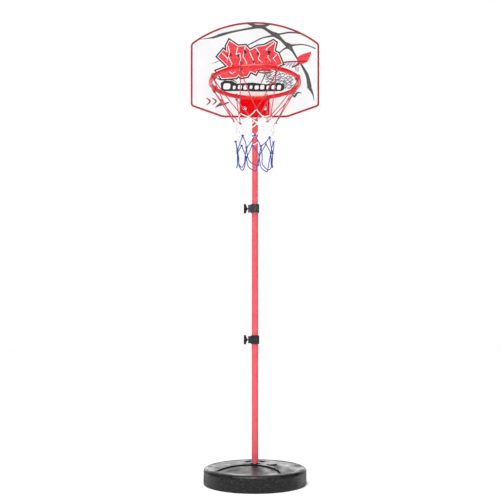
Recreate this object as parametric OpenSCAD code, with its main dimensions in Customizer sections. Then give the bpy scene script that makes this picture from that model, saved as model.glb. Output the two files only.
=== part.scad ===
// Portable basketball hoop on a telescopic mast, for children.
//
// Millimetres, +Z up. The origin is on the floor, under the axis of the mast.
// The backboard faces -Y and the two clamp knobs point to -X.

/* [Base] */
// Radius of the round ballast tank
base_r = 190; // [170:1:210]
// Height of the tank's upright wall, below its rounded shoulder
wall_h = 48; // [40:1:56]
// Radius of the raised ridge round the top of the tank
ridge_r = 173; // [160:1:176]
// Height of the ridge
ridge_h = 61; // [58:0.5:68]
// Height of the tank at its middle
dome_h = 75; // [72:0.5:82]
// Wall thickness of the blow-moulded tank
shell_t = 3; // [2.5:0.1:4]

/* [Mast] */
// Outer radius of the lower tube
lower_r = 12.4; // [12:0.1:13]
// Wall thickness of all three tubes
tube_t = 0.5; // [0.4:0.1:0.6]
// Radial gap between one tube and the next
tube_gap = 0.2; // [0.15:0.05:0.3]
// Height of the middle of the lower clamp
lower_clamp_z = 530; // [500:5:560]
// Height of the middle of the upper clamp
upper_clamp_z = 1013; // [980:5:1040]
// Length of tube that stays inside the next one at full height
overlap = 70; // [60:1:90]

/* [Clamps] */
// Height of a clamp collar
collar_h = 32; // [30:1:36]
// Outer radius of a clamp collar
collar_r = 16; // [15.4:0.1:16.4]
// Distance from the mast's axis to the outer face of the collar's boss
boss_x = 25.5; // [25:0.5:28]
// Distance across the two wings of a knob
wing_span = 35; // [33:0.5:42]

/* [Backboard] */
// Height of the highest point of the backboard
board_top = 1697; // [1680:1:1720]
// Width of the backboard
board_w = 480; // [460:2:500]
// Drop from the top of the arched edge to the upper corners
arch_drop = 82; // [70:1:100]
// Height of the backboard's flat lower edge
board_bottom = 1338; // [1325:1:1342]
// Distance from the mast's axis to the front of the moulded panel
board_front = 22.5; // [22.5:0.5:26]

/* [Rim and net] */
// Height of the rim
rim_z = 1400; // [1398:1:1404]
// Radius of the rim, to the middle of its tube
rim_r = 150.5; // [140:0.5:155]
// Radius of the rim's tube
rim_tube_r = 7; // [5:0.5:8]
// Clear space between the rim and the backboard
rim_gap = 38; // [34:1:50]
// Radius of the net's narrow lower part
net_r = 64; // [58:1:72]
// Height of the net's lower edge
net_bottom = 1096; // [1080:2:1120]

/* [Hidden] */
$fn = 72;

// A hair's breadth, by which one cutter reaches past the face it cuts
eps = 0.5;
// Clearance of a running fit, on the radius
fit = 0.06;

RED = "#e0323c";
BLACK = "#26272b";
WHITE = "#f4f4f4";
STEEL = "#c2c4c8";
NYLON = "#d9d6cc";

// Tank
edge_r = 5;
dome_r = ridge_r - 6;
dome_foot = ridge_h - 1.6;
hub_r = 22;
hub_h = dome_h + 0.5;
well_r = 16;
well_floor = 11;
panel_at = [-33, -147];
panel_r = 125;
panel_drop = 4.5;
pocket_at = [0, 44];
pocket_r = 38;
pocket_drop = 4;
fade_run = 20;
pad_r = 60;
relief_r = 160;
relief_d = 1.2;
foot_cap_h = 3;
foot_plug_h = 18;
bush_flange_h = 2.2;

// Filler cap
cap_at = [61, -14];
cap_r = 20;
cap_t = 3.6;
cap_seat = 70.5;
cap_stem_r = 12.3;
cap_stem_h = 14;
cap_wall = 2.5;
cap_step = 0.8;
grip_d = 1.2;
grip_w = 2.6;
grip_l = 26;
neck_r = 13;
gasket_t = 1.2;
seal_gap = 0.1;

// Mast
middle_r = lower_r - tube_t - tube_gap;
upper_r = middle_r - tube_t - tube_gap;
lip_t = 2;
lower_foot = well_floor + foot_cap_h;
lower_top = lower_clamp_z + collar_h / 2 - lip_t;
middle_foot = lower_top - overlap;
middle_top = upper_clamp_z + collar_h / 2 - lip_t;
upper_foot = middle_top - overlap;
guide_h = 6;
spigot_h = 22;
plug_wall = 2.5;

// Clamps: an M6 screw on the X axis, with a captive nut and a shoe on its tip
screw_r = 2.94;
thread_r = 3;
nut_flats = 10;
nut_t = 5;
nut_x = boss_x - 1;
pad_r_out = 3.6;
pad_back_x = 17;
pad_bore_r = 4;
stud_tip_x = 14.2;
knob_x = 29.2;
knob_t = 12;
wing_r = 7.4;
wing_t = 8;
tip_r = 2.6;
boss_w = 20;
boss_corner = 3;
flute_r = 2.4;
flute_off = 1.4;
flute_pitch = 30;
end_hollow_r = 40;
end_hollow_d = 0.5;
hub_lobe_r = 8.6;
knob_neck_r = 5.4;

// Head of the mast
sleeve_r = 16;
sleeve_t = 1.5;
sleeve_foot = board_bottom + 9;
sleeve_top = 1468;
sleeve_screw_z = [1362, 1448];
sleeve_screw_r = 2;
sleeve_screw_head_r = 4;
sleeve_screw_head_h = 2.2;
mast_cap_h = 4;
mast_plug_h = 12;

// Backboard
panel_t = 4;
flange_t = 3;
flange_d = 16;
side_foot = board_bottom + 43;
foot_half_w = 118;
sheet_inset = 4.5;
sheet_t = 0.4;
panel_back = board_front - panel_t;
sheet_front = board_front + sheet_t;
arch_r = (pow(board_w / 2, 2) + pow(arch_drop, 2)) / (2 * arch_drop);
rib_t = 2.5;
rib_d = 9;
side_ribs = [-195, -150, -105, 105, 150, 195];
middle_ribs = [-55, 0, 55];
cross_ribs = [sleeve_top + 22, sleeve_top + 95];
foot_rib_w = 160;
notch_w = 40;

// Rim bracket and its two M6 bolts
plate_t = 2.5;
plate_w = 107;
plate_foot = board_bottom + 6;
fold_r = 5;
bolt_z = 1375;
bolt_pitch = 75;
bolt_r = 2.95;
hole_r = 3.3;
washer_r = 7;
washer_t = 1.2;
bolt_head_r = 5.6;
bolt_head_h = 3.4;
bolt_end_y = -sleeve_r + 9;
socket_r = 2.3;
back_plate_top = 1442;
back_plate_y = -sleeve_r + 0.3;
flange_top = rim_z + plate_t / 2;
corner_reach = 15;
rim_lap = 1.5;

// Rim tube
rim_y = -(sheet_front + rim_gap + rim_r + rim_tube_r);
rim_tube_t = 1.2;
saw_cut = 0.8;

// Net
net_t = 1.6;
net_waist_z = rim_z - 113;
net_waist_r = net_r + 6;
net_narrow_z = net_waist_z - 40;
net_top = rim_z - rim_tube_r + 1;

// ---------------------------------------------------------------- outlines

// Points of an arc, from angle a to angle b
function arc(centre, r, a, b, steps = 8) =
    [for (i = [0:steps]) centre + r * [cos(a + (b - a) * i / steps), sin(a + (b - a) * i / steps)]];

function unit(v) = v / norm(v);

// Direction across a line, to the left of its travel
function left_of(v) = [-v.y, v.x];

// A corner moved inward by d, from both of the sides that meet there (counterclockwise outline)
function inset_corner(before, at, after, d) =
    let (n1 = left_of(unit(at - before)), n2 = left_of(unit(after - at)))
    at + d * (n1 + n2) / (1 + n1 * n2);

function inset_outline(points, d) =
    let (n = len(points))
    [for (i = [0:n - 1]) inset_corner(points[(i + n - 1) % n], points[i], points[(i + 1) % n], d)];

// A corner replaced by a short curve that starts and ends at a distance c from it
function soft_corner(before, at, after, c, steps = 6) =
    let (p = at + c * unit(before - at), q = at + c * unit(after - at))
    [for (i = [0:steps]) let (t = i / steps) (1 - t) * (1 - t) * p + 2 * t * (1 - t) * at + t * t * q];

function soften(points, cuts) =
    let (n = len(points))
    [for (i = [0:n - 1])
        each cuts[i] == 0 ? [points[i]]
            : soft_corner(points[(i + n - 1) % n], points[i], points[(i + 1) % n], cuts[i])];

// Outline of the backboard, seen from the front: X and height
arch_half_angle = asin(board_w / 2 / arch_r);
arch_points = arc([0, board_top - arch_r], arch_r, 90 - arch_half_angle, 90 + arch_half_angle, 32);
board_corners = concat(
    [[-foot_half_w, board_bottom], [foot_half_w, board_bottom], [board_w / 2, side_foot]],
    arch_points,
    [[-board_w / 2, side_foot]]
);
corner_cut = 11;
board_cuts = concat(
    [corner_cut, corner_cut, corner_cut, corner_cut],
    [for (i = [2:len(arch_points) - 1]) 0],
    [corner_cut, corner_cut]
);

module board_outline(inset = 0) {
    polygon(soften(inset_outline(board_corners, inset), board_cuts));
}

// Stands an outline drawn in X and height on edge; its material spans y_front to y_back
module upright(y_front, y_back) {
    translate([0, y_back, 0])
        rotate([90, 0, 0])
            linear_extrude(height = y_back - y_front)
                children();
}

// A hollow round bar on the mast's axis
module pipe(r_out, r_in, z0, z1) {
    translate([0, 0, z0])
        difference() {
            cylinder(r = r_out, h = z1 - z0);
            translate([0, 0, -eps])
                cylinder(r = r_in, h = z1 - z0 + 2 * eps);
        }
}

// A round bar along -X, from x0 to x1 outward, at height z
module bar_x(r, x0, x1, z, sides = 48) {
    translate([-x0, 0, z])
        rotate([0, -90, 0])
            cylinder(r = r, h = x1 - x0, $fn = sides);
}

// A round bar along Y, from y0 back to y1
module bar_y(r, y0, y1, x, z, sides = 48) {
    translate([x, y0, z])
        rotate([-90, 0, 0])
            cylinder(r = r, h = y1 - y0, $fn = sides);
}

module at_bolts() {
    for (side = [-1, 1])
        translate([side * bolt_pitch / 2, 0, bolt_z])
            children();
}

// ---------------------------------------------------------------- base

function dome_z(r) = dome_foot + (dome_h - dome_foot) * (1 - pow(r / dome_r, 2));

// Half section of the tank, or of the space inside it when inset by its wall
function tank_profile(inset) = concat(
    [[0, inset]],
    arc([base_r - edge_r, edge_r], edge_r - inset, -90, 0),
    [for (i = [0:10]) let (a = 9 * i)
        [ridge_r + (base_r - ridge_r - inset) * cos(a), wall_h + (ridge_h - wall_h - inset) * sin(a)]],
    [for (i = [0:12]) let (r = dome_r * (1 - i / 12)) [r, dome_z(r) - inset]]
);

// Everything above the dome once it is lowered by drops, from its middle to its edge
module above_dome(drops) {
    rotate_extrude()
        polygon(concat(
            [for (i = [0:12]) let (r = dome_r * i / 12) [r, dome_z(r) - drops[i]]],
            [[dome_r, dome_h + eps], [0, dome_h + eps]]
        ));
}

// Round area sunk into the dome; its step fades out at the ridge.
// The tank's inside keeps its distance when the area is made wider and deeper by grow.
module sunk_area(at, r, drop, grow) {
    intersection() {
        translate([at.x, at.y, 0])
            cylinder(r = r + grow, h = dome_h + eps);
        above_dome([for (i = [0:12]) grow + drop * min(1, dome_r * (1 - i / 12) / fade_run)]);
    }
}

// Large panel in front of the mast, and a round hand-hold behind it
module front_panel(grow)
    sunk_area(panel_at, panel_r, panel_drop, grow);

module back_pocket(grow)
    sunk_area(pocket_at, pocket_r, pocket_drop, grow);

module tank_inside() {
    difference() {
        rotate_extrude()
            polygon(tank_profile(shell_t));
        cylinder(r = well_r + shell_t, h = dome_h);
        translate([cap_at.x, cap_at.y, cap_seat - 9])
            cylinder(r = cap_r + 3, h = dome_h);
        front_panel(shell_t);
        back_pocket(shell_t);
    }
}

module base_tank() color(BLACK)
    difference() {
        union() {
            rotate_extrude()
                polygon(tank_profile(0));
            translate([0, 0, dome_h - shell_t])
                cylinder(r = hub_r, h = hub_h - dome_h + shell_t);
        }
        tank_inside();
        translate([0, 0, well_floor])
            cylinder(r = well_r, h = dome_h);
        translate([cap_at.x, cap_at.y, cap_seat])
            cylinder(r = cap_r + 1, h = dome_h);
        translate([cap_at.x, cap_at.y, wall_h])
            cylinder(r = neck_r, h = dome_h);
        front_panel(0);
        difference() {
            back_pocket(0);
            cylinder(r = hub_r, h = hub_h);
        }
        pipe(relief_r, pad_r, -eps, relief_d);
    }

module fill_cap() color(BLACK)
    translate([cap_at.x, cap_at.y, cap_seat + gasket_t + 2 * seal_gap])
        difference() {
            union() {
                cylinder(r = cap_r, h = cap_t - cap_step);
                cylinder(r = cap_r - cap_step, h = cap_t);
                translate([0, 0, -cap_stem_h])
                    cylinder(r = cap_stem_r, h = cap_stem_h);
            }
            translate([0, 0, -cap_stem_h - eps])
                cylinder(r = cap_stem_r - cap_wall, h = cap_stem_h - 1);
            // Slot for a coin to turn it with
            translate([-grip_l / 2, -grip_w / 2, cap_t - grip_d])
                cube([grip_l, grip_w, grip_d + eps]);
        }

module cap_gasket() color("#3a3a3c")
    translate([cap_at.x, cap_at.y, 0])
        pipe(cap_r - 2.5, neck_r + 0.3, cap_seat + seal_gap, cap_seat + seal_gap + gasket_t);

// Plastic lining between the tank's well and the mast, with a flange on top
module pole_bush() color(BLACK)
    difference() {
        union() {
            translate([0, 0, lower_foot])
                cylinder(r = well_r, h = hub_h - lower_foot);
            translate([0, 0, hub_h])
                cylinder(r1 = well_r + 3, r2 = well_r + 1.5, h = bush_flange_h);
        }
        translate([0, 0, lower_foot - eps])
            cylinder(r = lower_r, h = dome_h);
    }

module tube_foot_cap() color(BLACK)
    difference() {
        union() {
            translate([0, 0, well_floor])
                cylinder(r = well_r - 0.2, h = lower_foot - well_floor);
            translate([0, 0, lower_foot])
                cylinder(r = lower_r - tube_t, h = foot_plug_h);
        }
        translate([0, 0, lower_foot])
            cylinder(r = lower_r - tube_t - plug_wall, h = foot_plug_h + eps);
    }

// ---------------------------------------------------------------- mast

// One tube; hole_z is the height of the hole that the clamp's shoe reaches through
module mast_tube(r, z0, z1, hole_z) {
    difference() {
        pipe(r, r - tube_t, z0, z1);
        if (hole_z > 0)
            bar_x(pad_bore_r, r - 2, r + 1, hole_z);
    }
}

module lower_tube() color(RED)
    mast_tube(lower_r, lower_foot, lower_top, lower_clamp_z);

module middle_tube() color(RED)
    mast_tube(middle_r, middle_foot, middle_top, upper_clamp_z);

module upper_tube() color(RED)
    mast_tube(upper_r, upper_foot, sleeve_top, 0);

// Bush that a tube stands and turns on, and that slides in the next tube down
module guide_bush(r_tube, r_around, z) {
    difference() {
        union() {
            translate([0, 0, z - guide_h])
                cylinder(r = r_around - fit, h = guide_h - 0.05);
            translate([0, 0, z - guide_h])
                cylinder(r = r_tube - tube_t - fit, h = guide_h + spigot_h);
        }
        translate([0, 0, z - guide_h - eps])
            cylinder(r = r_tube - tube_t - plug_wall, h = guide_h + spigot_h + 2 * eps);
    }
}

module middle_guide() color(NYLON)
    guide_bush(middle_r, lower_r - tube_t, middle_foot);

module upper_guide() color(NYLON)
    guide_bush(upper_r, middle_r - tube_t, upper_foot);

// ---------------------------------------------------------------- clamps

// Boss of a collar, in side view: its upper and lower edges dip between collar and end
module boss_block() {
    half_h = collar_h / 2;
    dip = half_h - 3.2;
    flare = half_h - 1.8;
    intersection() {
        translate([0, boss_w / 2, 0])
            rotate([90, 0, 0])
                linear_extrude(height = boss_w)
                    polygon([
                        [-lower_r, -half_h + 0.5], [-19, -dip], [-23, -dip], [-boss_x, -flare],
                        [-boss_x, flare], [-23, dip], [-19, dip], [-lower_r, half_h - 0.5]
                    ]);
        union() {
            translate([-boss_x + boss_corner, 0, 0])
                for (side = [-1, 1])
                    translate([0, side * (boss_w / 2 - boss_corner), -half_h])
                        cylinder(r = boss_corner, h = collar_h);
            translate([-boss_x, -boss_w / 2 + boss_corner, -half_h])
                cube([boss_x, boss_w - 2 * boss_corner, collar_h]);
            translate([-boss_x + boss_corner, -boss_w / 2, -half_h])
                cube([boss_x, boss_w, collar_h]);
        }
    }
}

module clamp_collar(z, r_outer_tube, r_inner_tube) {
    half_h = collar_h / 2;
    bevel = 1;
    translate([0, 0, z])
        difference() {
            union() {
                rotate_extrude()
                    polygon([
                        [0, -half_h], [collar_r - bevel, -half_h], [collar_r, -half_h + bevel],
                        [collar_r, half_h - bevel], [collar_r - bevel, half_h], [0, half_h]
                    ]);
                boss_block();
            }
            translate([0, 0, -half_h - eps])
                cylinder(r = r_outer_tube, h = collar_h - lip_t + eps);
            cylinder(r = r_inner_tube + 0.1, h = collar_h);
            // Shallow flutes up the outside, clear of the boss
            for (a = [-4 * flute_pitch:flute_pitch:4 * flute_pitch])
                rotate([0, 0, a])
                    translate([collar_r + flute_off, 0, -half_h + 3])
                        cylinder(r = flute_r, h = collar_h - 6, $fn = 24);
            // Concave end, screw way, shoe way and the slot that the nut drops into
            translate([-boss_x - end_hollow_r + end_hollow_d, boss_w, 0])
                rotate([90, 0, 0])
                    cylinder(r = end_hollow_r, h = 2 * boss_w);
            bar_x(hole_r, nut_x - eps, boss_x + eps, 0);
            bar_x(pad_bore_r, r_outer_tube - 1, nut_x - nut_t, 0);
            translate([-nut_x, -nut_flats / 2, -nut_flats / 2])
                cube([nut_t, nut_flats, collar_h]);
        }
}

module lower_collar() color(BLACK)
    clamp_collar(lower_clamp_z, lower_r, middle_r);

module upper_collar() color(BLACK)
    clamp_collar(upper_clamp_z, middle_r, upper_r);

// Square nut, held in the collar's slot
module clamp_nut(z) {
    difference() {
        translate([-nut_x, -nut_flats / 2, z - nut_flats / 2])
            cube([nut_t, nut_flats, nut_flats]);
        bar_x(thread_r, nut_x - nut_t - eps, nut_x + eps, z);
    }
}

module lower_nut() color(STEEL)
    clamp_nut(lower_clamp_z);

module upper_nut() color(STEEL)
    clamp_nut(upper_clamp_z);

// Nylon shoe on the screw's tip, which bears on the inner tube
module clamp_pad(z, r_inner_tube) {
    nose_x = r_inner_tube + 0.25;
    difference() {
        bar_x(pad_r_out, nose_x, pad_back_x, z);
        bar_x(screw_r + fit, stud_tip_x - 0.1, pad_back_x + eps, z);
    }
}

module lower_pad() color(NYLON)
    clamp_pad(lower_clamp_z, middle_r);

module upper_pad() color(NYLON)
    clamp_pad(upper_clamp_z, upper_r);

// Screw that is moulded into the knob
module clamp_stud(z) {
    bar_x(screw_r, stud_tip_x, knob_x + knob_t - 4, z);
}

module lower_stud() color(STEEL)
    clamp_stud(lower_clamp_z);

module upper_stud() color(STEEL)
    clamp_stud(upper_clamp_z);

// Knob with two wings: flat outside, and thickest at the hub
module wing_knob(z) {
    lobe_z = wing_span / 2 - wing_r;
    x_out = knob_x + knob_t;
    tip_z = wing_span / 2 - tip_r;
    translate([0, 0, z])
        difference() {
            union() {
                intersection() {
                    translate([-x_out, 0, 0])
                        rotate([90, 0, 90])
                            linear_extrude(height = knob_t) {
                                circle(r = hub_lobe_r);
                                for (side = [-1, 1])
                                    translate([0, side * lobe_z])
                                        circle(r = wing_r);
                                square([2 * wing_r - 3.4, 2 * lobe_z], center = true);
                            }
                    translate([0, 10, 0])
                        rotate([90, 0, 0])
                            linear_extrude(height = 20)
                                polygon(concat(
                                    arc([-x_out + tip_r, tip_z], tip_r, 180, 90),
                                    arc([-x_out + wing_t - tip_r, tip_z], tip_r, 90, 20),
                                    [[-knob_x - 1.4, 7.5], [-knob_x, 4], [-knob_x, -4], [-knob_x - 1.4, -7.5]],
                                    arc([-x_out + wing_t - tip_r, -tip_z], tip_r, -20, -90),
                                    arc([-x_out + tip_r, -tip_z], tip_r, -90, -180)
                                ));
                }
                bar_x(knob_neck_r, knob_x - 1, knob_x + 2, 0);
            }
            bar_x(screw_r, knob_x - 2, x_out - 4, 0);
        }
}

module lower_knob() color(BLACK)
    wing_knob(lower_clamp_z);

module upper_knob() color(BLACK)
    wing_knob(upper_clamp_z);

// ---------------------------------------------------------------- head of the mast

module mast_sleeve() color(RED)
    difference() {
        pipe(sleeve_r, sleeve_r - sleeve_t, sleeve_foot, sleeve_top);
        for (z = sleeve_screw_z)
            bar_y(sleeve_screw_r + 0.2, 0, sleeve_r + eps, 0, z);
    }

module sleeve_liner() color(BLACK)
    difference() {
        pipe(sleeve_r - sleeve_t, upper_r, sleeve_foot + 0.6, sleeve_top);
        for (z = sleeve_screw_z)
            bar_y(sleeve_screw_r, 0, sleeve_r, 0, z);
    }

// Self-tapping screws through the sleeve, its liner and the wall of the upper tube
module sleeve_screws() color(STEEL)
    for (z = sleeve_screw_z)
        intersection() {
            union() {
                bar_y(sleeve_screw_r, upper_r, sleeve_r + 1, 0, z);
                bar_y(sleeve_screw_head_r, sleeve_r - 0.1, sleeve_r + sleeve_screw_head_h, 0, z);
            }
            // Rounds the head over
            translate([0, sleeve_r - 3.4, z])
                sphere(r = 5.8);
        }

module mast_cap() color(BLACK)
    union() {
        translate([0, 0, sleeve_top])
            cylinder(r = sleeve_r, h = mast_cap_h / 2);
        translate([0, 0, sleeve_top + mast_cap_h / 2])
            cylinder(r1 = sleeve_r, r2 = sleeve_r - 2.5, h = mast_cap_h / 2);
        translate([0, 0, sleeve_top - mast_plug_h])
            cylinder(r = upper_r - tube_t, h = mast_plug_h);
    }

// Steel plate behind the panel, welded to the sleeve
module back_plate() color(RED)
    difference() {
        upright(-panel_back, back_plate_y)
            polygon(soften(
                [[-plate_w / 2, plate_foot + 6], [plate_w / 2, plate_foot + 6],
                 [plate_w / 2, back_plate_top], [-plate_w / 2, back_plate_top]],
                [8, 8, 8, 8]
            ));
        at_bolts()
            bar_y(hole_r, -board_front, 0, 0, 0);
    }

// ---------------------------------------------------------------- backboard

// Stiffening ribs behind the panel, either side of the steel plate and above it
module board_ribs() {
    rib_back = -panel_back + rib_d;
    intersection() {
        upright(-panel_back - eps, rib_back)
            board_outline(flange_t - eps);
        union() {
            for (x = side_ribs)
                translate([x - rib_t / 2, -panel_back - eps, board_bottom])
                    cube([rib_t, rib_d + eps, board_top - board_bottom]);
            for (x = middle_ribs)
                translate([x - rib_t / 2, -panel_back - eps, cross_ribs[0]])
                    cube([rib_t, rib_d + eps, board_top - sleeve_top]);
            for (z = cross_ribs)
                translate([-board_w / 2, -panel_back - eps, z])
                    cube([board_w, rib_d + eps, rib_t]);
            for (side = [-1, 1])
                translate([side * board_w / 3 - foot_rib_w / 2, -panel_back - eps, side_foot + 12])
                    cube([foot_rib_w, rib_d + eps, rib_t]);
        }
    }
}

module backboard() color(WHITE)
    difference() {
        union() {
            // The front edge is rounded over in three thin steps
            for (i = [0:2])
                upright(-board_front + 0.5 * i, -panel_back)
                    board_outline(1.5 * pow(1 - i / 3, 2));
            difference() {
                upright(-board_front + 1.5, -board_front + flange_d)
                    board_outline();
                upright(-panel_back - eps, -board_front + flange_d + eps)
                    board_outline(flange_t);
            }
            board_ribs();
        }
        at_bolts()
            bar_y(hole_r, -board_front - eps, 0, 0, 0);
        // The lower flange is open where the sleeve passes
        translate([-notch_w / 2, -panel_back, board_bottom - eps])
            cube([notch_w, flange_d, 12]);
    }

// Printed plastic sheet on the front of the panel
module board_sheet() color("#f0f0f2")
    difference() {
        upright(-sheet_front, -board_front)
            board_outline(sheet_inset);
        at_bolts()
            bar_y(hole_r, -sheet_front - eps, 0, 0, 0);
    }

// ---------------------------------------------------------------- rim

// Round tube bent into a ring; its two ends meet, a saw cut apart, at the bracket
module rim_ring() color(RED)
    translate([0, rim_y, rim_z])
        difference() {
            rotate_extrude()
                translate([rim_r, 0])
                    difference() {
                        circle(r = rim_tube_r);
                        circle(r = rim_tube_r - rim_tube_t);
                    }
            translate([-saw_cut / 2, rim_r - 2 * rim_tube_r, -2 * rim_tube_r])
                cube([saw_cut, 4 * rim_tube_r, 4 * rim_tube_r]);
        }

// Bent steel plate: an upright face on the backboard and a flange that meets the rim all along
module rim_bracket() color(RED)
    difference() {
        union() {
            upright(-sheet_front - plate_t, -sheet_front)
                polygon(soften(
                    [[-plate_w / 2, plate_foot], [plate_w / 2, plate_foot],
                     [plate_w / 2, flange_top - fold_r], [-plate_w / 2, flange_top - fold_r]],
                    [3, 3, 0, 0]
                ));
            // Fold between the upright face and the flange, then the flange
            translate([-plate_w / 2, 0, 0])
                rotate([90, 0, 90])
                    linear_extrude(height = plate_w)
                        polygon(concat(
                            [[-sheet_front, flange_top - fold_r - 4]],
                            arc([-sheet_front - fold_r, flange_top - fold_r], fold_r, 0, 90),
                            [[rim_y + rim_r, flange_top], [rim_y + rim_r, flange_top - plate_t]],
                            arc([-sheet_front - fold_r, flange_top - fold_r], fold_r - plate_t, 90, 0),
                            [[-sheet_front - plate_t, flange_top - fold_r - 4]]
                        ));
            // Its front corners reach on to the rim, which curves away from the backboard
            translate([-plate_w / 2, rim_y + rim_r - corner_reach, flange_top - plate_t])
                cube([plate_w, corner_reach + eps, plate_t]);
        }
        at_bolts()
            bar_y(hole_r, -board_front - 10, 0, 0, 0);
        translate([0, rim_y, rim_z - rim_tube_r])
            cylinder(r = rim_r + rim_tube_r - rim_lap, h = 2 * rim_tube_r, $fn = 180);
    }

// Domed bolts with a hexagonal socket, through bracket, sheet, panel and back plate
module bracket_bolts() color(STEEL)
    at_bolts() {
        head_y = -sheet_front - plate_t - washer_t;
        crown_r = (pow(bolt_head_r, 2) + pow(bolt_head_h, 2)) / (2 * bolt_head_h);
        difference() {
            intersection() {
                translate([0, head_y - bolt_head_h + crown_r, 0])
                    sphere(r = crown_r);
                bar_y(bolt_head_r, head_y - bolt_head_h - eps, head_y, 0, 0);
            }
            bar_y(socket_r, head_y - bolt_head_h - eps, head_y - 1.2, 0, 0, 6);
        }
        bar_y(bolt_r, head_y - 0.2, bolt_end_y, 0, 0);
    }

module washers(y) {
    at_bolts()
        difference() {
            bar_y(washer_r, y, y + washer_t, 0, 0);
            bar_y(thread_r, y - eps, y + washer_t + eps, 0, 0);
        }
}

module bracket_washers() color(STEEL)
    washers(-sheet_front - plate_t - washer_t);

module back_washers() color(STEEL)
    washers(back_plate_y);

module back_nuts() color(STEEL)
    at_bolts() {
        nut_y = back_plate_y + washer_t;
        difference() {
            bar_y(nut_flats / sqrt(3), nut_y, nut_y + nut_t, 0, 0, 6);
            bar_y(thread_r, nut_y - eps, nut_y + nut_t + eps, 0, 0);
        }
    }

// ---------------------------------------------------------------- net

// The space that the knotted cords hold: a funnel below the rim, then a narrow sleeve
module net() color("#5566c8")
    translate([0, rim_y, 0])
        rotate_extrude()
            polygon([
                [rim_r + net_t / 2, net_top], [rim_r - net_t / 2, net_top],
                [net_waist_r - net_t / 2, net_waist_z], [net_r - net_t / 2, net_narrow_z],
                [net_r - net_t / 2, net_bottom], [net_r + net_t / 2, net_bottom],
                [net_r + net_t / 2, net_narrow_z], [net_waist_r + net_t / 2, net_waist_z]
            ]);

base_tank();
fill_cap();
cap_gasket();
pole_bush();
tube_foot_cap();
lower_tube();
middle_tube();
upper_tube();
middle_guide();
upper_guide();
lower_collar();
upper_collar();
lower_nut();
upper_nut();
lower_pad();
upper_pad();
lower_stud();
upper_stud();
lower_knob();
upper_knob();
mast_sleeve();
sleeve_liner();
sleeve_screws();
mast_cap();
back_plate();
backboard();
board_sheet();
bracket_bolts();
bracket_washers();
back_washers();
back_nuts();
rim_ring();
rim_bracket();
net();
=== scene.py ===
"""The looks of a portable basketball hoop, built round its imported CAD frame.

Metres, +Z up. The origin is on the floor under the mast, and the backboard faces -Y.
"""

import math
import random

import bmesh
import bpy
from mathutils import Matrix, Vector


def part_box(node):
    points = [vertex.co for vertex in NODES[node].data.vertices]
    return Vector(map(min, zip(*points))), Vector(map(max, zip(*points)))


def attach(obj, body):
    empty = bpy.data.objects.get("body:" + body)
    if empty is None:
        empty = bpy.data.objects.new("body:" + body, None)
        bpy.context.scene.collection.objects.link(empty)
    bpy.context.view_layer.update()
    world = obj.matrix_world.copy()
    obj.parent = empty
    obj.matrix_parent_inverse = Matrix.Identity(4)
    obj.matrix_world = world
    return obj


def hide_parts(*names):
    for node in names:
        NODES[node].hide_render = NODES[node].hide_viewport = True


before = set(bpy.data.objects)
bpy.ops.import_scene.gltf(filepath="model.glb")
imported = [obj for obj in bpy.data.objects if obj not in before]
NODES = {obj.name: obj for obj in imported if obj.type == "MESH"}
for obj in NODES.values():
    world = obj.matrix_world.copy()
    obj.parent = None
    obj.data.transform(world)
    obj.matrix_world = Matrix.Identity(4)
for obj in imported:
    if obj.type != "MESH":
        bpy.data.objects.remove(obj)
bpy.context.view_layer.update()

MM = 0.001
TAU = 2 * math.pi
WHITE = (1.0, 1.0, 1.0, 1.0)


# ---------------------------------------------------------------- places, from the frame

rim_low, rim_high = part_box("rim_ring")
bracket_low, bracket_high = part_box("rim_bracket")
plate_low, plate_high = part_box("back_plate")
sheet_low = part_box("board_sheet")[0]

RIM_TUBE = (rim_high.z - rim_low.z) / 2
RIM_CENTRE = (rim_low + rim_high) / 2
RIM_RADIUS = (rim_high.x - rim_low.x) / 2 - RIM_TUBE
BOARD_FRONT = sheet_low.y
BOARD_FOOT = sheet_low.z


# ---------------------------------------------------------------- camera

def make_camera():
    """Looks level along +Y from just above the lower clamp, framed upward by lens shift."""
    lens = bpy.data.cameras.new("camera")
    lens.sensor_width = 36.0
    lens.lens = 52.7
    lens.shift_x = -0.01
    lens.shift_y = 0.181
    camera = bpy.data.objects.new("camera", lens)
    camera.location = (0, -2.7, 0.527)
    camera.rotation_euler = (math.radians(90), 0, 0)
    bpy.context.scene.collection.objects.link(camera)
    bpy.context.scene.camera = camera


make_camera()


# ---------------------------------------------------------------- material tools

def add_node(tree, kind, inputs=None, **settings):
    """A shader node; an input given as a socket is linked, and any other input is set."""
    made = tree.nodes.new(kind)
    for key, value in settings.items():
        setattr(made, key, value)
    for key, value in (inputs or {}).items():
        if isinstance(value, bpy.types.NodeSocket):
            tree.links.new(value, made.inputs[key])
        else:
            made.inputs[key].default_value = value
    return made


def new_material(name, **sockets):
    """A material with a Principled shader; sockets are set by name, with _ for a space."""
    made = bpy.data.materials.new(name)
    made.use_nodes = True
    shader = made.node_tree.nodes["Principled BSDF"]
    for key, value in sockets.items():
        shader.inputs[key.replace("_", " ")].default_value = value
    return made, made.node_tree, shader


def object_place(tree):
    """The place on the object, in metres."""
    return add_node(tree, "ShaderNodeTexCoord").outputs["Object"]


def noise(tree, place, scale, detail=3.0, stretch=None):
    """Noise, mostly between 0.3 and 0.7; stretch makes it finer along each axis."""
    if stretch:
        place = add_node(tree, "ShaderNodeMapping", {"Vector": place, "Scale": stretch}).outputs[0]
    inputs = {"Vector": place, "Scale": scale, "Detail": detail}
    return add_node(tree, "ShaderNodeTexNoise", inputs).outputs["Fac"]


def remap(tree, value, low, high, start=0.3, end=0.7):
    """The value between start and end, spread from low to high."""
    inputs = {"Value": value, "From Min": start, "From Max": end, "To Min": low, "To Max": high}
    return add_node(tree, "ShaderNodeMapRange", inputs).outputs["Result"]


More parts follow.
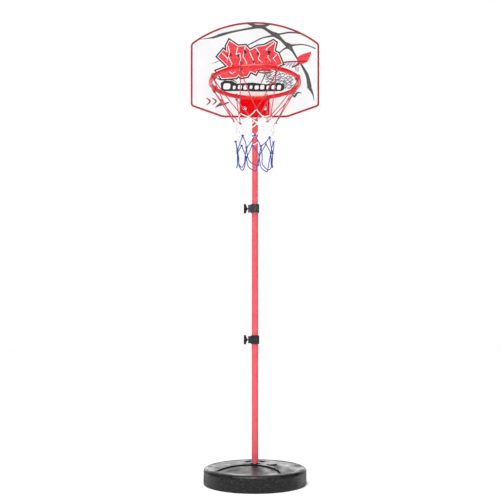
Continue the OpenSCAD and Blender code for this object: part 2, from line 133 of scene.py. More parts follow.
def blend_colour(tree, amount, first, second):
    """The first colour where amount is 0, the second where it is 1."""
    # A Mix node has sockets for every data type; these are the ones for colours
    factor, colour_a, colour_b, result = 0, 6, 7, 2
    inputs = {factor: amount}
    for socket, colour in ((colour_a, first), (colour_b, second)):
        inputs[socket] = (*colour, 1.0) if isinstance(colour, tuple) else colour
    return add_node(tree, "ShaderNodeMix", inputs, data_type="RGBA").outputs[result]


def add_bump(tree, shader, height, depth):
    """Raises the surface by up to depth, in metres."""
    bump = add_node(tree, "ShaderNodeBump", {"Height": height, "Distance": depth, "Strength": 1.0})
    tree.links.new(bump.outputs["Normal"], shader.inputs["Normal"])


# ---------------------------------------------------------------- materials

def powder_coat(name, colour, shadow, roughness, coat, specular):
    """Baked powder paint: faint orange peel, and slightly uneven gloss and colour."""
    made, tree, shader = new_material(
        name, Coat_Weight=coat, Coat_Roughness=0.12, IOR=1.5, Specular_IOR_Level=specular,
    )
    place = object_place(tree)
    peel = noise(tree, place, 900.0, 1.0)
    cloud = noise(tree, place, 28.0, 3.0)
    tint = blend_colour(tree, remap(tree, cloud, 0.0, 1.0), shadow, colour)
    tree.links.new(tint, shader.inputs["Base Color"])
    tree.links.new(remap(tree, cloud, roughness - 0.05, roughness + 0.06), shader.inputs["Roughness"])
    add_bump(tree, shader, peel, 0.03 * MM)
    return made


def moulded_black(name, colour, worn, roughness, grain, depth, specular=0.5, unevenness=0.11):
    """Dark moulded plastic or rubber: a pebbled skin with cloudy gloss, paler where scuffed.

    Grain is the scale of the pebbles and depth their height; roughness varies by unevenness.
    """
    made, tree, shader = new_material(name, IOR=1.5, Specular_IOR_Level=specular)
    place = object_place(tree)
    pebbles = noise(tree, place, grain, 4.0)
    clouds = noise(tree, place, 22.0, 5.0)
    scuffs = noise(tree, place, 90.0, 6.0, stretch=(1.0, 1.0, 3.0))
    tint = blend_colour(tree, remap(tree, scuffs, 0.0, 1.0, 0.52, 0.75), colour, worn)
    tree.links.new(tint, shader.inputs["Base Color"])
    gloss = remap(tree, clouds, roughness - unevenness, roughness + unevenness)
    tree.links.new(gloss, shader.inputs["Roughness"])
    add_bump(tree, shader, pebbles, depth)
    return made


def plated_steel(name, colour, second):
    """Zinc plate or black oxide with fine rolling marks."""
    made, tree, shader = new_material(name, Metallic=1.0)
    place = object_place(tree)
    marks = noise(tree, place, 600.0, 3.0, stretch=(1.0, 1.0, 8.0))
    spangle = noise(tree, place, 160.0, 2.0)
    tint = blend_colour(tree, remap(tree, spangle, 0.0, 1.0), second, colour)
    tree.links.new(tint, shader.inputs["Base Color"])
    tree.links.new(remap(tree, marks, 0.32, 0.5), shader.inputs["Roughness"])
    add_bump(tree, shader, marks, 0.02 * MM)
    return made


def pale_plastic(name, colour, shadow, roughness, grain=450.0):
    """White or natural moulded plastic with a fine satin grain."""
    made, tree, shader = new_material(name, IOR=1.48)
    place = object_place(tree)
    fine = noise(tree, place, grain, 2.0)
    cloud = noise(tree, place, 14.0, 3.0)
    tint = blend_colour(tree, remap(tree, cloud, 0.0, 1.0), shadow, colour)
    tree.links.new(tint, shader.inputs["Base Color"])
    tree.links.new(remap(tree, fine, roughness - 0.05, roughness + 0.08), shader.inputs["Roughness"])
    add_bump(tree, shader, fine, 0.02 * MM)
    return made


def ink(name, colour, second):
    """Screen ink, with the slight streaks of a printed flat."""
    made, tree, shader = new_material(name, IOR=1.45)
    place = object_place(tree)
    streaks = noise(tree, place, 70.0, 4.0, stretch=(1.0, 1.0, 6.0))
    dots = noise(tree, place, 900.0, 1.0)
    tint = blend_colour(tree, remap(tree, streaks, 0.0, 1.0, 0.42, 0.68), colour, second)
    tree.links.new(tint, shader.inputs["Base Color"])
    tree.links.new(remap(tree, dots, 0.3, 0.42), shader.inputs["Roughness"])
    return made


def cord_fibre(name, colour, shadow):
    """Braided polyester: fine fibres along each twisted ply, and a soft sheen."""
    made, tree, shader = new_material(name, Roughness=0.6, Sheen_Weight=0.3, Sheen_Roughness=0.4)
    along = add_node(tree, "ShaderNodeUVMap").outputs["UV"]
    fibres = noise(tree, along, 9.0, 3.0, stretch=(6.0, 1.5, 1.0))
    patches = noise(tree, object_place(tree), 60.0, 2.0)
    tint = blend_colour(tree, remap(tree, fibres, 0.0, 1.0), shadow, colour)
    tint = blend_colour(tree, remap(tree, patches, 0.0, 0.35), tint, shadow)
    tree.links.new(tint, shader.inputs["Base Color"])
    add_bump(tree, shader, fibres, 0.2 * MM)
    return made


RED_TUBE = powder_coat(
    "red_tube_paint", (0.87, 0.12, 0.14), (0.81, 0.095, 0.115), roughness=0.3, coat=0.05, specular=0.2,
)
RED_RIM = powder_coat(
    "red_rim_paint", (0.74, 0.009, 0.015), (0.64, 0.004, 0.009), roughness=0.24, coat=0.3, specular=0.3,
)
RED_PLATE = powder_coat(
    "red_plate_paint", (0.92, 0.0, 0.004), (0.82, 0.0, 0.003), roughness=0.42, coat=0.0, specular=0.15,
)
TANK = moulded_black(
    "tank_polyethylene", (0.006, 0.0055, 0.0058), (0.04, 0.04, 0.042),
    roughness=0.42, grain=170.0, depth=0.6 * MM, specular=0.3, unevenness=0.2,
)
CLAMP = moulded_black(
    "clamp_nylon", (0.009, 0.008, 0.012), (0.04, 0.04, 0.048),
    roughness=0.3, grain=500.0, depth=0.08 * MM,
)
CLAMP_GREY = moulded_black(
    "clamp_nylon_grey", (0.03, 0.032, 0.042), (0.09, 0.095, 0.115),
    roughness=0.28, grain=500.0, depth=0.08 * MM,
)
KNOB = moulded_black(
    "knob_plastic", (0.002, 0.002, 0.0025), (0.008, 0.008, 0.01),
    roughness=0.4, grain=500.0, depth=0.06 * MM, specular=0.2,
)
RUBBER = moulded_black(
    "seal_rubber", (0.02, 0.02, 0.02), (0.04, 0.04, 0.04),
    roughness=0.7, grain=400.0, depth=0.1 * MM,
)
ZINC = plated_steel("zinc_plate", (0.9, 0.9, 0.92), (0.76, 0.76, 0.75))
BLACK_STEEL = plated_steel("black_steel", (0.16, 0.16, 0.17), (0.1, 0.1, 0.105))
NYLON = pale_plastic("natural_nylon", (0.72, 0.7, 0.63), (0.64, 0.62, 0.55), 0.42)
PANEL = pale_plastic("panel_plastic", (0.84, 0.84, 0.84), (0.8, 0.8, 0.805), 0.38)
SHEET = pale_plastic("sheet_plastic", (0.78, 0.78, 0.785), (0.73, 0.73, 0.74), 0.4, grain=900.0)

INK_RED = ink("ink_red", (0.72, 0.014, 0.028), (0.76, 0.07, 0.09))
INK_BORDER = ink("ink_border", (0.3, 0.01, 0.015), (0.37, 0.018, 0.025))
INK_BLACK = ink("ink_black", (0.006, 0.006, 0.007), (0.02, 0.02, 0.022))
INK_GREY = ink("ink_grey", (0.055, 0.057, 0.057), (0.09, 0.093, 0.093))
INK_PALE = ink("ink_pale_grey", (0.07, 0.07, 0.074), (0.15, 0.15, 0.155))
INK_WHITE = ink("ink_white", (0.84, 0.84, 0.84), (0.76, 0.76, 0.77))

CORD_RED = cord_fibre("cord_red", (0.62, 0.042, 0.066), (0.44, 0.024, 0.038))
CORD_WHITE = cord_fibre("cord_white", (0.97, 0.97, 0.97), (0.9, 0.9, 0.91))
CORD_BLUE = cord_fibre("cord_blue", (0.04, 0.066, 0.44), (0.022, 0.036, 0.3))

FINISHES = {
    RED_TUBE: ["lower_tube", "middle_tube", "upper_tube", "mast_sleeve"],
    RED_RIM: ["rim_ring"],
    RED_PLATE: ["rim_bracket", "back_plate"],
    TANK: ["base_tank", "fill_cap"],
    CLAMP_GREY: ["upper_collar"],
    CLAMP: ["lower_collar", "pole_bush", "tube_foot_cap", "sleeve_liner"],
    KNOB: ["lower_knob", "upper_knob", "mast_cap"],
    RUBBER: ["cap_gasket"],
    BLACK_STEEL: ["lower_stud", "upper_stud"],
    ZINC: ["lower_nut", "upper_nut", "sleeve_screws", "bracket_bolts", "bracket_washers",
           "back_washers", "back_nuts"],
    NYLON: ["middle_guide", "upper_guide", "lower_pad", "upper_pad"],
    PANEL: ["backboard"],
    SHEET: ["board_sheet"],
}


def paint_frame():
    """Gives every carried-over CAD node its material."""
    for finish, names in FINISHES.items():
        for name in names:
            piece = NODES[name]
            if not piece.material_slots:
                piece.data.materials.append(finish)
            for part in piece.material_slots:
                part.material = finish


paint_frame()


# ---------------------------------------------------------------- mesh tools

def link_mesh(name, verts, faces, finish, body, smooth=True, uvs=None):
    """A mesh piece, in metres, that rides on a body; uvs has one pair for each vertex."""
    mesh = bpy.data.meshes.new(name)
    mesh.from_pydata([tuple(v) for v in verts], [], faces)
    if uvs:
        layer = mesh.uv_layers.new(name="UVMap")
        for loop in mesh.loops:
            layer.data[loop.index].uv = uvs[loop.vertex_index]
    mesh.materials.append(finish)
    for face in mesh.polygons:
        face.use_smooth = smooth
    mesh.update()
    piece = bpy.data.objects.new(name, mesh)
    bpy.context.scene.collection.objects.link(piece)
    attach(piece, body)
    return piece


def curve_through(points, step):
    """Points spaced by about step along a smooth curve through the given ones."""
    points = [Vector(p) for p in points]
    padded = [2 * points[0] - points[1]] + points + [2 * points[-1] - points[-2]]
    path = []
    for a, b, c, d in zip(padded, padded[1:], padded[2:], padded[3:]):
        count = max(1, round((c - b).length / step))
        for i in range(count):
            t = i / count
            path.append(0.5 * (2 * b + (c - a) * t + (2 * a - 5 * b + 4 * c - d) * t * t
                               + (3 * b - a - 3 * c + d) * t ** 3))
    path.append(points[-1])
    return path


def heading(path, i):
    """Direction of travel at point i of a path, not normalised."""
    return path[min(i + 1, len(path) - 1)] - path[max(i - 1, 0)]


class Tubes:
    """Gathers many swept tubes into one mesh."""

    def __init__(self):
        self.verts = []
        self.faces = []
        self.uvs = []

    def add(self, path, radius_at, sides, pitch):
        """Sweeps a ring along the path; radius_at gives the radius from angle and distance."""
        side = None
        travelled = 0.0
        first = len(self.verts)
        for i, point in enumerate(path):
            ahead = heading(path, i).normalized()
            if side is None:
                side = ahead.orthogonal().normalized()
            side = (side - ahead * side.dot(ahead)).normalized()
            across = ahead.cross(side)
            if i:
                travelled += (point - path[i - 1]).length
            for k in range(sides):
                angle = TAU * k / sides
                radius = radius_at(angle, travelled)
                self.verts.append(point + radius * (math.cos(angle) * side + math.sin(angle) * across))
                self.uvs.append((k / sides, travelled / pitch))
        for i in range(len(path) - 1):
            ring = first + i * sides
            for k in range(sides):
                after = (k + 1) % sides
                self.faces.append((ring + k, ring + after, ring + sides + after, ring + sides + k))
        self.faces.append(tuple(reversed(range(first, first + sides))))
        self.faces.append(tuple(range(len(self.verts) - sides, len(self.verts))))

    def piece(self, name, finish, body):
        return link_mesh(name, self.verts, self.faces, finish, body, uvs=self.uvs)


# ---------------------------------------------------------------- net

class Net:
    """A hand-tied net of twisted cord in three colours, hung from loops round the rim."""

    columns = 8
    # Radius of the cord, and the length of one turn of its plies
    cord = 1.75 * MM
    ply_pitch = 11 * MM
    cord_sides = 12
    path_step = 1.6 * MM
    # Each row of knots: drop below the rim, extra drop at both sides, radius, and the scatter
    # of column, drop and radius. Every second row is set half a column on.
    rows = [
        (106, 30, 70, 0.1, 4, 1.5),
        (133, 16, 67, 0.1, 3, 1.5),
        (158, 6, 65, 0.1, 3, 1.5),
        (177, 2, 64.5, 0.1, 3, 1.5),
        (196, 0, 64, 0.12, 4, 1.5),
        (236, 0, 63, 0.22, 10, 3),
    ]
    knot_colours = ["red", "white", "white", "white", "blue", "blue"]
    # The colour of the strands between each row and the next
    strand_colours = ["white", "white", "white", "white", "blue"]
    # The front of the net is turned a little to the right
    turn = math.radians(-90 + 4)

    def __init__(self):
        self.dice = random.Random(11)
        self.tubes = {"red": Tubes(), "white": Tubes(), "blue": Tubes()}
        self.knots = [self.knot_row(i % 2, *row) for i, row in enumerate(self.rows)]

    def angle(self, column):
        return self.turn + TAU * column / self.columns

    def place(self, column, radius, drop):
        """A point at this column and radius, and this far below the rim's centre."""
        angle = self.angle(column)
        return Vector((
            RIM_CENTRE.x + radius * math.cos(angle),
            RIM_CENTRE.y + radius * math.sin(angle),
            RIM_CENTRE.z - drop,
        ))

    def spread(self, amount):
        return self.dice.uniform(-amount, amount)

    def knot_row(self, half, drop, side_drop, radius, column_scatter, drop_scatter, radius_scatter):
        made = []
        for i in range(self.columns):
            column = i + half / 2 + self.spread(column_scatter)
            sideways = math.cos(self.angle(column)) ** 2
            made.append(self.place(
                column,
                (radius + self.spread(radius_scatter)) * MM,
                (drop + side_drop * sideways + self.spread(drop_scatter)) * MM,
            ))
        return made

    def ply(self, angle, travelled):
        """Radius of a three-ply twisted cord."""
        plies = 3
        return self.cord * (0.9 + 0.13 * math.cos(plies * (angle - TAU * travelled / self.ply_pitch)))

    def sweep(self, colour, path):
        self.tubes[colour].add(path, self.ply, self.cord_sides, self.ply_pitch)

    def strand(self, colour, points):
        self.sweep(colour, curve_through(points, self.path_step))

    def knot(self, colour, at):
        """A small pulled-tight trefoil, turned at random."""
        size = 1.15 * MM
        tilt = Vector((self.spread(1), self.spread(1), self.spread(1))).normalized()
        turned = tilt.to_track_quat("Z", "Y")
        steps = 40
        path = []
        for i in range(steps + 1):
            t = TAU * i / steps
            shape = Vector((
                math.sin(t) + 2 * math.sin(2 * t),
                math.cos(t) - 2 * math.cos(2 * t),
                -1.2 * math.sin(3 * t),
            ))
            path.append(at + turned @ (size * shape))
        self.sweep(colour, path)

    def sagging(self, start, end, sag):
        """A nearly straight strand whose middle hangs by sag millimetres and drifts sideways."""
        drift = Vector((self.spread(2), self.spread(2), -sag)) * MM
        return [start, start.lerp(end, 0.33) + drift, start.lerp(end, 0.67) + drift, end]

    def rim_loops(self):
        """Each loop goes once round the rim's tube and is knotted under it."""
        around = RIM_TUBE + self.cord + 0.2 * MM
        creep = 0.35 * MM
        sag = 3
        first = self.knots[0]
        for i in range(self.columns):
            column = i + 0.5 + self.spread(0.07)
            under = self.place(column, RIM_RADIUS, RIM_TUBE + 2 * self.cord + 1.5 * MM)
            side = Vector((-math.sin(self.angle(column)), math.cos(self.angle(column)), 0))
            path = [under]
            for step in range(11):
                angle = math.radians(-60 + 30 * step)
                reach = RIM_RADIUS + around * math.cos(angle)
                point = self.place(column, reach, -around * math.sin(angle))
                path.append(point + side * (step - 5) * creep)
            path.append(under)
            self.strand("red", path)
            self.knot("red", under)
            self.strand("red", self.sagging(under, first[i], sag))
            self.strand("red", self.sagging(under, first[(i + 1) % self.columns], sag))

    def mesh_below(self, row):
        """Two strands down from every knot of a row to its neighbours in the next row."""
        upper, lower = self.knots[row], self.knots[row + 1]
        other = 1 if row % 2 else -1
        for i in range(self.columns):
            for k in (i, (i + other) % self.columns):
                self.strand(self.strand_colours[row], self.sagging(upper[i], lower[k], 1))

    def bottom_loops(self):
        """A hanging loop between each two neighbours of the last row, lowest at the front."""
        last = self.knots[-1]
        for i in range(self.columns):
            a, b = last[i], last[(i + 1) % self.columns]
            frontness = -math.sin(self.angle(i + 1))
            drop = (291 + 11 * frontness + self.spread(7)) * MM
            low = self.place(i + 1 + self.spread(0.12), (62 + self.spread(2)) * MM, drop)
            across = Vector((b.x - a.x, b.y - a.y, 0)).normalized()
            depth = (a.z + b.z) / 2 - low.z
            sides = []
            for top, inward in ((a, across), (b, -across)):
                for fall, reach in ((0.4, 5), (0.76, 9)):
                    point = top + inward * (reach + self.spread(3)) * MM
                    point.z = low.z + (1 - fall) * depth
                    sides.append(point)
            self.strand("blue", [a, sides[0], sides[1], low, sides[3], sides[2], b])

    def build(self):
        self.rim_loops()
        for row in range(len(self.strand_colours)):
            self.mesh_below(row)
        for row, colour in zip(self.knots, self.knot_colours):
            for at in row:
                self.knot(colour, at)
        self.bottom_loops()
        finishes = {"red": CORD_RED, "white": CORD_WHITE, "blue": CORD_BLUE}
        for colour, tubes in self.tubes.items():
            piece = tubes.piece("net_" + colour, finishes[colour], "head")
            if colour == "red":
                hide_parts("net")


Net().build()


# ---------------------------------------------------------------- print on the board

LAYER = 0.1 * MM


def on_board(x, height, layer):
    """A point of the print: millimetres across and above the sheet's foot, and layers of ink."""
    return Vector((x * MM, BOARD_FRONT - layer * LAYER, BOARD_FOOT + height * MM))


class Print:
    """Flat shapes of one ink, each a thin film that stands on the sheet."""

    # Each shape is this much of a layer higher than the last, so that no two faces coincide
    hair = 0.01
    thinnest = 0.4

    def __init__(self, layer):
        self.layer = layer
        self.verts = []
        self.faces = []

    def film(self, outline):
        """A closed outline of (x, height), filled and given its thickness."""
        self.layer += self.hair
        self.fill(outline)

    def fill(self, outline):
        count = len(outline)
        first = len(self.verts)
        self.verts += [on_board(x, h, self.layer) for x, h in outline]
        self.verts += [on_board(x, h, 0) for x, h in outline]
        front = tuple(range(first, first + count))
        self.faces.append(front)
        self.faces.append(tuple(reversed([k + count for k in front])))
        for i in range(count):
            k = (i + 1) % count
            self.faces.append((first + i, first + count + i, first + count + k, first + k))

    def stroke(self, points, step=5):
        """A brush stroke through (x, height, width) points, with a point every step millimetres."""
        path = curve_through(points, step)
        left, right = [], []
        for i, point in enumerate(path):
            ahead = heading(path, i)
            ahead.z = 0
            ahead.normalize()
            half = max(point.z, self.thinnest) / 2
            left.append((point.x - ahead.y * half, point.y + ahead.x * half))
            right.append((point.x + ahead.y * half, point.y - ahead.x * half))
        self.film(left + right[::-1])

    def line_round(self, outline, outer, inner):
        """A line that follows a closed outline, between two distances outside it."""
        left, right = offset(outline, outer), offset(outline, inner)
        self.layer += self.hair
        for i in range(len(outline)):
            k = (i + 1) % len(outline)
            self.fill([left[i], left[k], right[k], right[i]])

    def piece(self, name, finish):
        made = link_mesh(name, self.verts, self.faces, finish, "head", smooth=False)
        work = bmesh.new()
        work.from_mesh(made.data)
        bmesh.ops.triangulate(work, faces=[face for face in work.faces if len(face.verts) > 4])
        bmesh.ops.recalc_face_normals(work, faces=work.faces)
        work.to_mesh(made.data)
        work.free()


def offset(outline, distance):
    """A counterclockwise outline moved outward, with mitred corners."""
    moved = []
    count = len(outline)
    for i, (x, h) in enumerate(outline):
        before, after = outline[i - 1], outline[(i + 1) % count]
        a = Vector((x - before[0], h - before[1])).normalized()
        b = Vector((after[0] - x, after[1] - h)).normalized()
        n1, n2 = Vector((a.y, -a.x)), Vector((b.y, -b.x))
        miter = (n1 + n2) / max(1 + n1.dot(n2), 0.35)
        moved.append((x + miter.x * distance, h + miter.y * distance))
    return moved


def sheet_outline():
    """The sheet's edge, counterclockwise, in the print's millimetres."""
    on_front = set()
    for vertex in NODES["board_sheet"].data.vertices:
        x, y, z = vertex.co
        if abs(y - BOARD_FRONT) < 0.01 * MM:
            on_front.add((round(x / MM, 2), round((z - BOARD_FOOT) / MM, 2)))
    # The bolt holes are the only other points of the sheet's front
    edge = [(x, h) for x, h in on_front if not (abs(x) < 60 and 20 < h < 60)]
    middle = 170
    return sorted(edge, key=lambda point: math.atan2(point[1] - middle, point[0]))


def draw_border():
    film = Print(1)
    film.line_round(sheet_outline(), -0.4, -7.2)
    film.piece("print_border", INK_BORDER)


def draw_ball_seams():
    """Seams of a large ball that runs off the board's upper right."""
    film = Print(1)
    # The long seam down the right side, in two runs because it is cut off square where it is widest
    film.stroke([
        (8, 333, 15), (27, 331, 13), (45, 320, 11), (63, 308, 14), (77, 301, 19), (94, 287, 12),
        (109, 272, 12), (124, 261, 20), (137, 244, 9), (152, 220, 7), (167, 197, 7), (179, 177, 9),
        (191, 153, 12), (198, 122, 15), (199, 106, 17),
    ])
    film.stroke([(199, 108, 13), (205, 100, 10), (212, 83, 5), (216, 60, 1)])
    branches = [
        [(-30, 344, 3), (-14, 340, 9), (0, 335, 12), (16, 332, 14)],
        [(18, 333, 14), (38, 336, 9), (56, 341, 5), (64, 343, 2)],
        [(20, 333, 15), (4, 330, 10), (-46, 321, 7), (-89, 312, 8), (-126, 302, 10), (-146, 295, 8),
         (-170, 290, 4), (-200, 286, 1)],
        [(-134, 300, 7), (-150, 291, 3), (-156, 288, 1)],
        [(70, 303, 20), (84, 304, 9), (100, 307, 6), (124, 311, 6), (149, 310, 5), (164, 305, 1)],
        [(80, 302, 20), (66, 299, 8), (48, 296, 6), (24, 290, 5), (-4, 276, 5), (-34, 261, 3)],
        [(122, 261, 18), (136, 264, 8), (152, 266, 5), (173, 267, 4.5), (197, 262, 4), (222, 252, 4)],
        [(128, 260, 18), (116, 255, 8), (103, 249, 5), (91, 238, 4), (85, 235, 4)],
        [(36, 156, 5), (30, 142, 4), (22, 126, 3)],
        [(-157, 196, 1), (-142, 203, 2.5), (-128, 209, 1)],
    ]
    for points in branches:
        film.stroke(points)
    film.piece("print_ball_seams", INK_GREY)


# A jagged splash, counterclockwise from its left tip
SPLASH = [
    (-138, 223), (-101, 187), (-142, 171), (-122, 141), (-68, 145), (-60, 154), (-52, 145),
    (-27, 150), (-16, 168), (3, 158), (12, 174), (45, 180), (82, 186), (101, 196), (86, 235),
    (71, 243), (78, 274), (67, 282), (33, 264), (10, 262), (-19, 247), (-34, 264), (-62, 262),
    (-94, 284), (-106, 261), (-104, 242), (-116, 250),
]
# White cracks across the splash, and black splinters beside some of them
CRACKS = [
    [(-98, 262), (-93, 240), (-97, 222), (-84, 196), (-90, 182)],
    [(-120, 236), (-100, 216), (-104, 204)],
    [(-64, 256), (-69, 230), (-56, 236), (-52, 212), (-60, 190)],
    [(-36, 258), (-44, 224), (-30, 200), (-34, 186)],
    [(-20, 240), (-8, 214), (-2, 198), (-14, 184)],
    [(4, 254), (18, 232), (12, 214), (28, 200)],
    [(70, 274), (40, 250), (56, 238), (46, 222), (58, 204)],
    [(80, 230), (66, 216), (78, 200)],
    [(-118, 168), (-98, 172), (-84, 160), (-70, 168)],
    [(-58, 176), (-40, 160)],
]
SPLINTERS = [
    [(-90, 238), (-84, 226), (-93, 222)],
    [(-66, 228), (-56, 234), (-58, 218)],
    [(-40, 250), (-30, 240), (-41, 228)],
    [(-84, 192), (-74, 188), (-88, 184)],
    [(44, 247), (60, 240), (50, 226)],
    [(-8, 210), (0, 206), (-4, 196)],
    [(-100, 236), (-96, 226), (-104, 222)],
    [(8, 244), (17, 234), (8, 226)],
    [(-56, 200), (-50, 210), (-48, 196)],
]


def draw_splash():
    """A red splash in a white line and a black one, cracked and splintered."""
    outline = Print(2)
    outline.film(offset(SPLASH, 5.5))
    outline.piece("print_splash_edge", INK_BLACK)
    white = Print(3)
    white.film(offset(SPLASH, 0.3))
    white.piece("print_splash_line", INK_WHITE)
    red = Print(4)
    red.film(offset(SPLASH, -2.2))
    red.piece("print_splash", INK_RED)
    cracks = Print(5)
    for line in CRACKS:
        widths = [3.4] + [2.6] * (len(line) - 2) + [0.8]
        points = [(*point, width) for point, width in zip(line, widths)]
        for start, end in zip(points, points[1:]):
            cracks.stroke([start, end], step=60)
    cracks.piece("print_splash_cracks", INK_WHITE)
    black = Print(6)
    for triangle in SPLINTERS:
        black.film(triangle)
    black.piece("print_splash_splinters", INK_BLACK)


def squared(value):
    """A sine or cosine bent so that the oval it draws has fuller corners."""
    return math.copysign(abs(value) ** 0.6, value)


def pill(x, height, half_width, half_height):
    """A squarish oval that leans to the right."""
    count, lean = 20, 0.12
    outline = []
    for i in range(count):
        angle = TAU * i / count
        across = half_width * squared(math.cos(angle))
        up = half_height * squared(math.sin(angle))
        outline.append((x + across + lean * up, height + up))
    return outline


def draw_band():
    """A black band of white pills under the splash, the first one larger."""
    black = Print(2)
    black.film([(-124, 102), (-112, 96), (-60, 97), (20, 95), (98, 97), (108, 106), (104, 122),
                (90, 127), (40, 122), (-10, 128), (-66, 124), (-84, 134), (-112, 136), (-126, 126)])
    black.stroke([(-142, 147, 1), (-128, 139, 5), (-104, 140, 5), (-82, 137, 4), (-66, 128, 2)])
    black.piece("print_band", INK_BLACK)
    white = Print(3)
    white.film(pill(-103, 114, 13, 11))
    for i in range(9):
        white.film(pill(-76 + 20.5 * i, 110 + i % 2, 7.4 if i % 3 else 5, 6.5 + i % 3))
    white.piece("print_band_pills", INK_WHITE)


def scribble_net(film):
    """Short crossing strokes that narrow from the sketched ring, at upper right, to lower left."""
    dice = random.Random(5)
    rows, columns = 7, 14
    faint, bold = 1.2, 3.0
    for row in range(rows):
        for column in range(columns):
            across = (column + dice.uniform(-0.3, 0.3)) / (columns - 1)
            down = (row + dice.uniform(-0.3, 0.3)) / (rows - 1)
            x = 36 + 100 * across + 10 * down * (1 - across)
            height = 166 - 8 * across - 52 * down * (1 - 0.25 * (1 - across))
            lean = dice.uniform(-9, 9)
            film.stroke([
                (x - 6, height + lean * 0.5, faint),
                (x, height + dice.uniform(-4, 4), bold),
                (x + 6, height - lean, faint),
            ], step=4)


def draw_small_hoop():
    """A sketched hoop: a red board in perspective, a thin ring and a scribbled net."""
    red = Print(2)
    red.film([(157, 222), (172, 231), (204, 241), (206, 235), (196, 210), (181, 198), (166, 195),
              (156, 199), (154, 210)])
    red.piece("print_small_board", INK_RED)
    ring = Print(3)
    ring.stroke([(100, 201, 4), (122, 204, 5), (150, 205, 5), (192, 205, 5)])
    ring.stroke([(162, 199, 8), (150, 190, 7), (134, 183, 4)])
    ring.stroke([(8, 172, 5), (24, 174, 7), (48, 173, 7), (62, 170, 4)])
    ring.stroke([(14, 166, 4), (34, 163, 6), (56, 166, 5)])
    ring.piece("print_small_hoop", INK_BORDER)
    grey = Print(1)
    scribble_net(grey)
    # Crossed cords from the ring's near side, and loose ends under the board
    for i in range(5):
        x = 108 + 11 * i
        grey.stroke([(x + 6, 203, 1.4), (x, 192, 2), (x - 8, 184, 1.2)], step=4)
        grey.stroke([(x - 6, 202, 1.2), (x + 2, 194, 2), (x + 10, 190, 1.2)], step=4)
    for i in range(3):
        grey.stroke([(150 + 5 * i, 186, 1.2), (148 + 5 * i, 178, 2.4), (152 + 4 * i, 168, 1.2)], step=4)
    grey.piece("print_small_net", INK_PALE)


def draw_corner_marks():
    """Small chevrons, a swoosh and a zigzag in the lower corners."""
    red = Print(1)
    for i in range(3):
        x = -178 + 22 * i
        red.stroke([(x, 72 - i, 3), (x + 14, 60, 6.5), (x + 1, 46 + i, 3)], step=6)
    red.piece("print_chevrons", INK_BORDER)
    grey = Print(1)
    grey.stroke([(-146, 36, 1), (-132, 45, 9), (-112, 50, 7), (-95, 56, 4)])
    grey.stroke([(114, 78, 2), (132, 88, 5), (144, 76, 8), (154, 90, 7), (171, 90, 2)])
    grey.piece("print_swoosh", INK_GREY)


draw_border()
draw_ball_seams()
draw_splash()
draw_band()
draw_small_hoop()
draw_corner_marks()


# ---------------------------------------------------------------- welds

def weld_bead(name, path, radius):
    """A rippled bead of weld metal under the paint."""
    ripple = 3.2 * MM

    def swell(angle, travelled):
        return radius * (0.9 + 0.14 * abs(math.sin(math.pi * travelled / ripple)))

    bead = Tubes()
    bead.add(curve_through(path, 0.5 * MM), swell, sides=12, pitch=ripple)
    piece = bead.piece(name, RED_PLATE, "head")


def add_welds():
    """Beads over and under the bracket at the rim, and either side of the mast's sleeve."""
    reach = (bracket_high.x - bracket_low.x) / 2 - 4 * MM
    outer = RIM_RADIUS + RIM_TUBE
    half_plate = 1.25 * MM
    bead = 1.3 * MM
    sleeve_bead = 1.5 * MM
    for name, side in (("weld_rim_upper", 1), ("weld_rim_lower", -1)):
        path = []
        for i in range(13):
            x = reach * (i / 6 - 1)
            y = RIM_CENTRE.y + math.sqrt(outer ** 2 - x ** 2) + 0.2 * MM
            path.append((x, y, RIM_CENTRE.z + side * (half_plate + bead / 2)))
        weld_bead(name, path, bead)
    for name, side in (("weld_sleeve_left", -1), ("weld_sleeve_right", 1)):
        x = side * 4.4 * MM
        y = plate_high.y - 0.1 * MM
        ends = [(x, y, plate_low.z + 6 * MM), (x, y, plate_high.z - 6 * MM)]
        weld_bead(name, ends, sleeve_bead)


add_welds()


# ---------------------------------------------------------------- studio

def make_floor():
    """A pale floor, with a faint unevenness so that it isn't one flat colour."""
    size = 30.0
    floor_corners = [(-size, -size, 0), (size, -size, 0), (size, size, 0), (-size, size, 0)]
    mesh = bpy.data.meshes.new("floor")
    mesh.from_pydata(floor_corners, [], [(0, 1, 2, 3)])
    floor = bpy.data.objects.new("floor", mesh)
    bpy.context.scene.collection.objects.link(floor)
    made, tree, shader = new_material("floor_paper", Roughness=0.9, Specular_IOR_Level=0.1)
    cloud = noise(tree, object_place(tree), 1.5, 2.0)
    tint = blend_colour(tree, cloud, (0.92, 0.92, 0.92), (0.95, 0.95, 0.95))
    tree.links.new(tint, shader.inputs["Base Color"])
    mesh.materials.append(made)


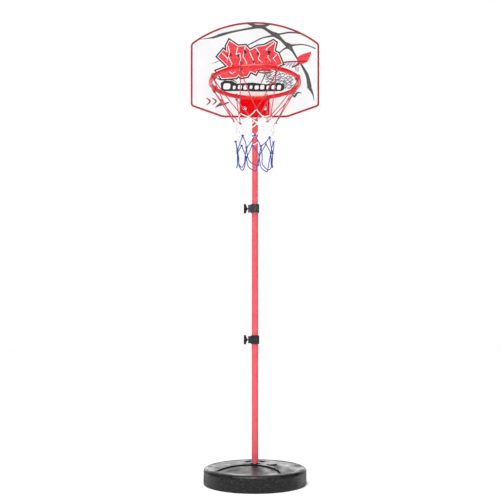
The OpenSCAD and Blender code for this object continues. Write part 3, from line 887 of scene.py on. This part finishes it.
def add_light(name, kind, place, target, energy, **settings):
    """A lamp aimed at target; energy is in watts, or watts per square metre for a sun."""
    lamp = bpy.data.lights.new(name, kind)
    lamp.energy = energy
    for key, value in settings.items():
        setattr(lamp, key, value)
    made = bpy.data.objects.new(name, lamp)
    made.location = place
    aim = Vector(target) - Vector(place)
    made.rotation_euler = aim.to_track_quat("-Z", "Y").to_euler()
    bpy.context.scene.collection.objects.link(made)


def calculate(tree, operation, *values):
    return add_node(tree, "ShaderNodeMath", dict(enumerate(values)), operation=operation).outputs[0]


def make_surround():
    """White to the camera; to everything else, a room dark at both sides and bright behind."""
    world = bpy.data.worlds.new("surround")
    bpy.context.scene.world = world
    world.use_nodes = True
    tree = world.node_tree
    facing = add_node(tree, "ShaderNodeTexCoord").outputs["Generated"]
    axes = add_node(tree, "ShaderNodeSeparateXYZ", {"Vector": facing})
    sideways = calculate(tree, "ABSOLUTE", axes.outputs["X"])
    soft = remap(tree, sideways, 0.34, 0.04, 0.3, 0.8)
    behind = remap(tree, axes.outputs["Y"], 0.0, 2.8, 0.7, 0.95)
    raised = remap(tree, axes.outputs["Z"], 0.0, 1.0, 0.04, 0.16)
    glow = calculate(tree, "MULTIPLY", behind, raised)
    room = tree.nodes["Background"]
    room.inputs["Color"].default_value = WHITE
    tree.links.new(calculate(tree, "ADD", soft, glow), room.inputs["Strength"])
    backdrop = add_node(tree, "ShaderNodeBackground", {"Color": WHITE, "Strength": 1.0})
    seen = add_node(tree, "ShaderNodeLightPath").outputs["Is Camera Ray"]
    mixed = add_node(tree, "ShaderNodeMixShader", {0: seen, 1: room.outputs[0], 2: backdrop.outputs[0]})
    tree.links.new(mixed.outputs[0], tree.nodes["World Output"].inputs["Surface"])


def light_studio():
    """A broad soft sun from high in front, with a panel on each side."""
    make_surround()
    add_light("sun", "SUN", (-0.6, -2.2, 5), (0, 0, 0), 3.3, angle=math.radians(40))
    add_light("panel_left", "AREA", (-0.9, -2.9, 1.9), (0, 0, 1.1), 9, size=0.8)
    add_light("panel_right", "AREA", (0.8, -2.9, 1.7), (0, 0, 1.1), 6, size=0.8)
    bpy.context.scene.view_settings.view_transform = "Standard"


make_floor()
light_studio()
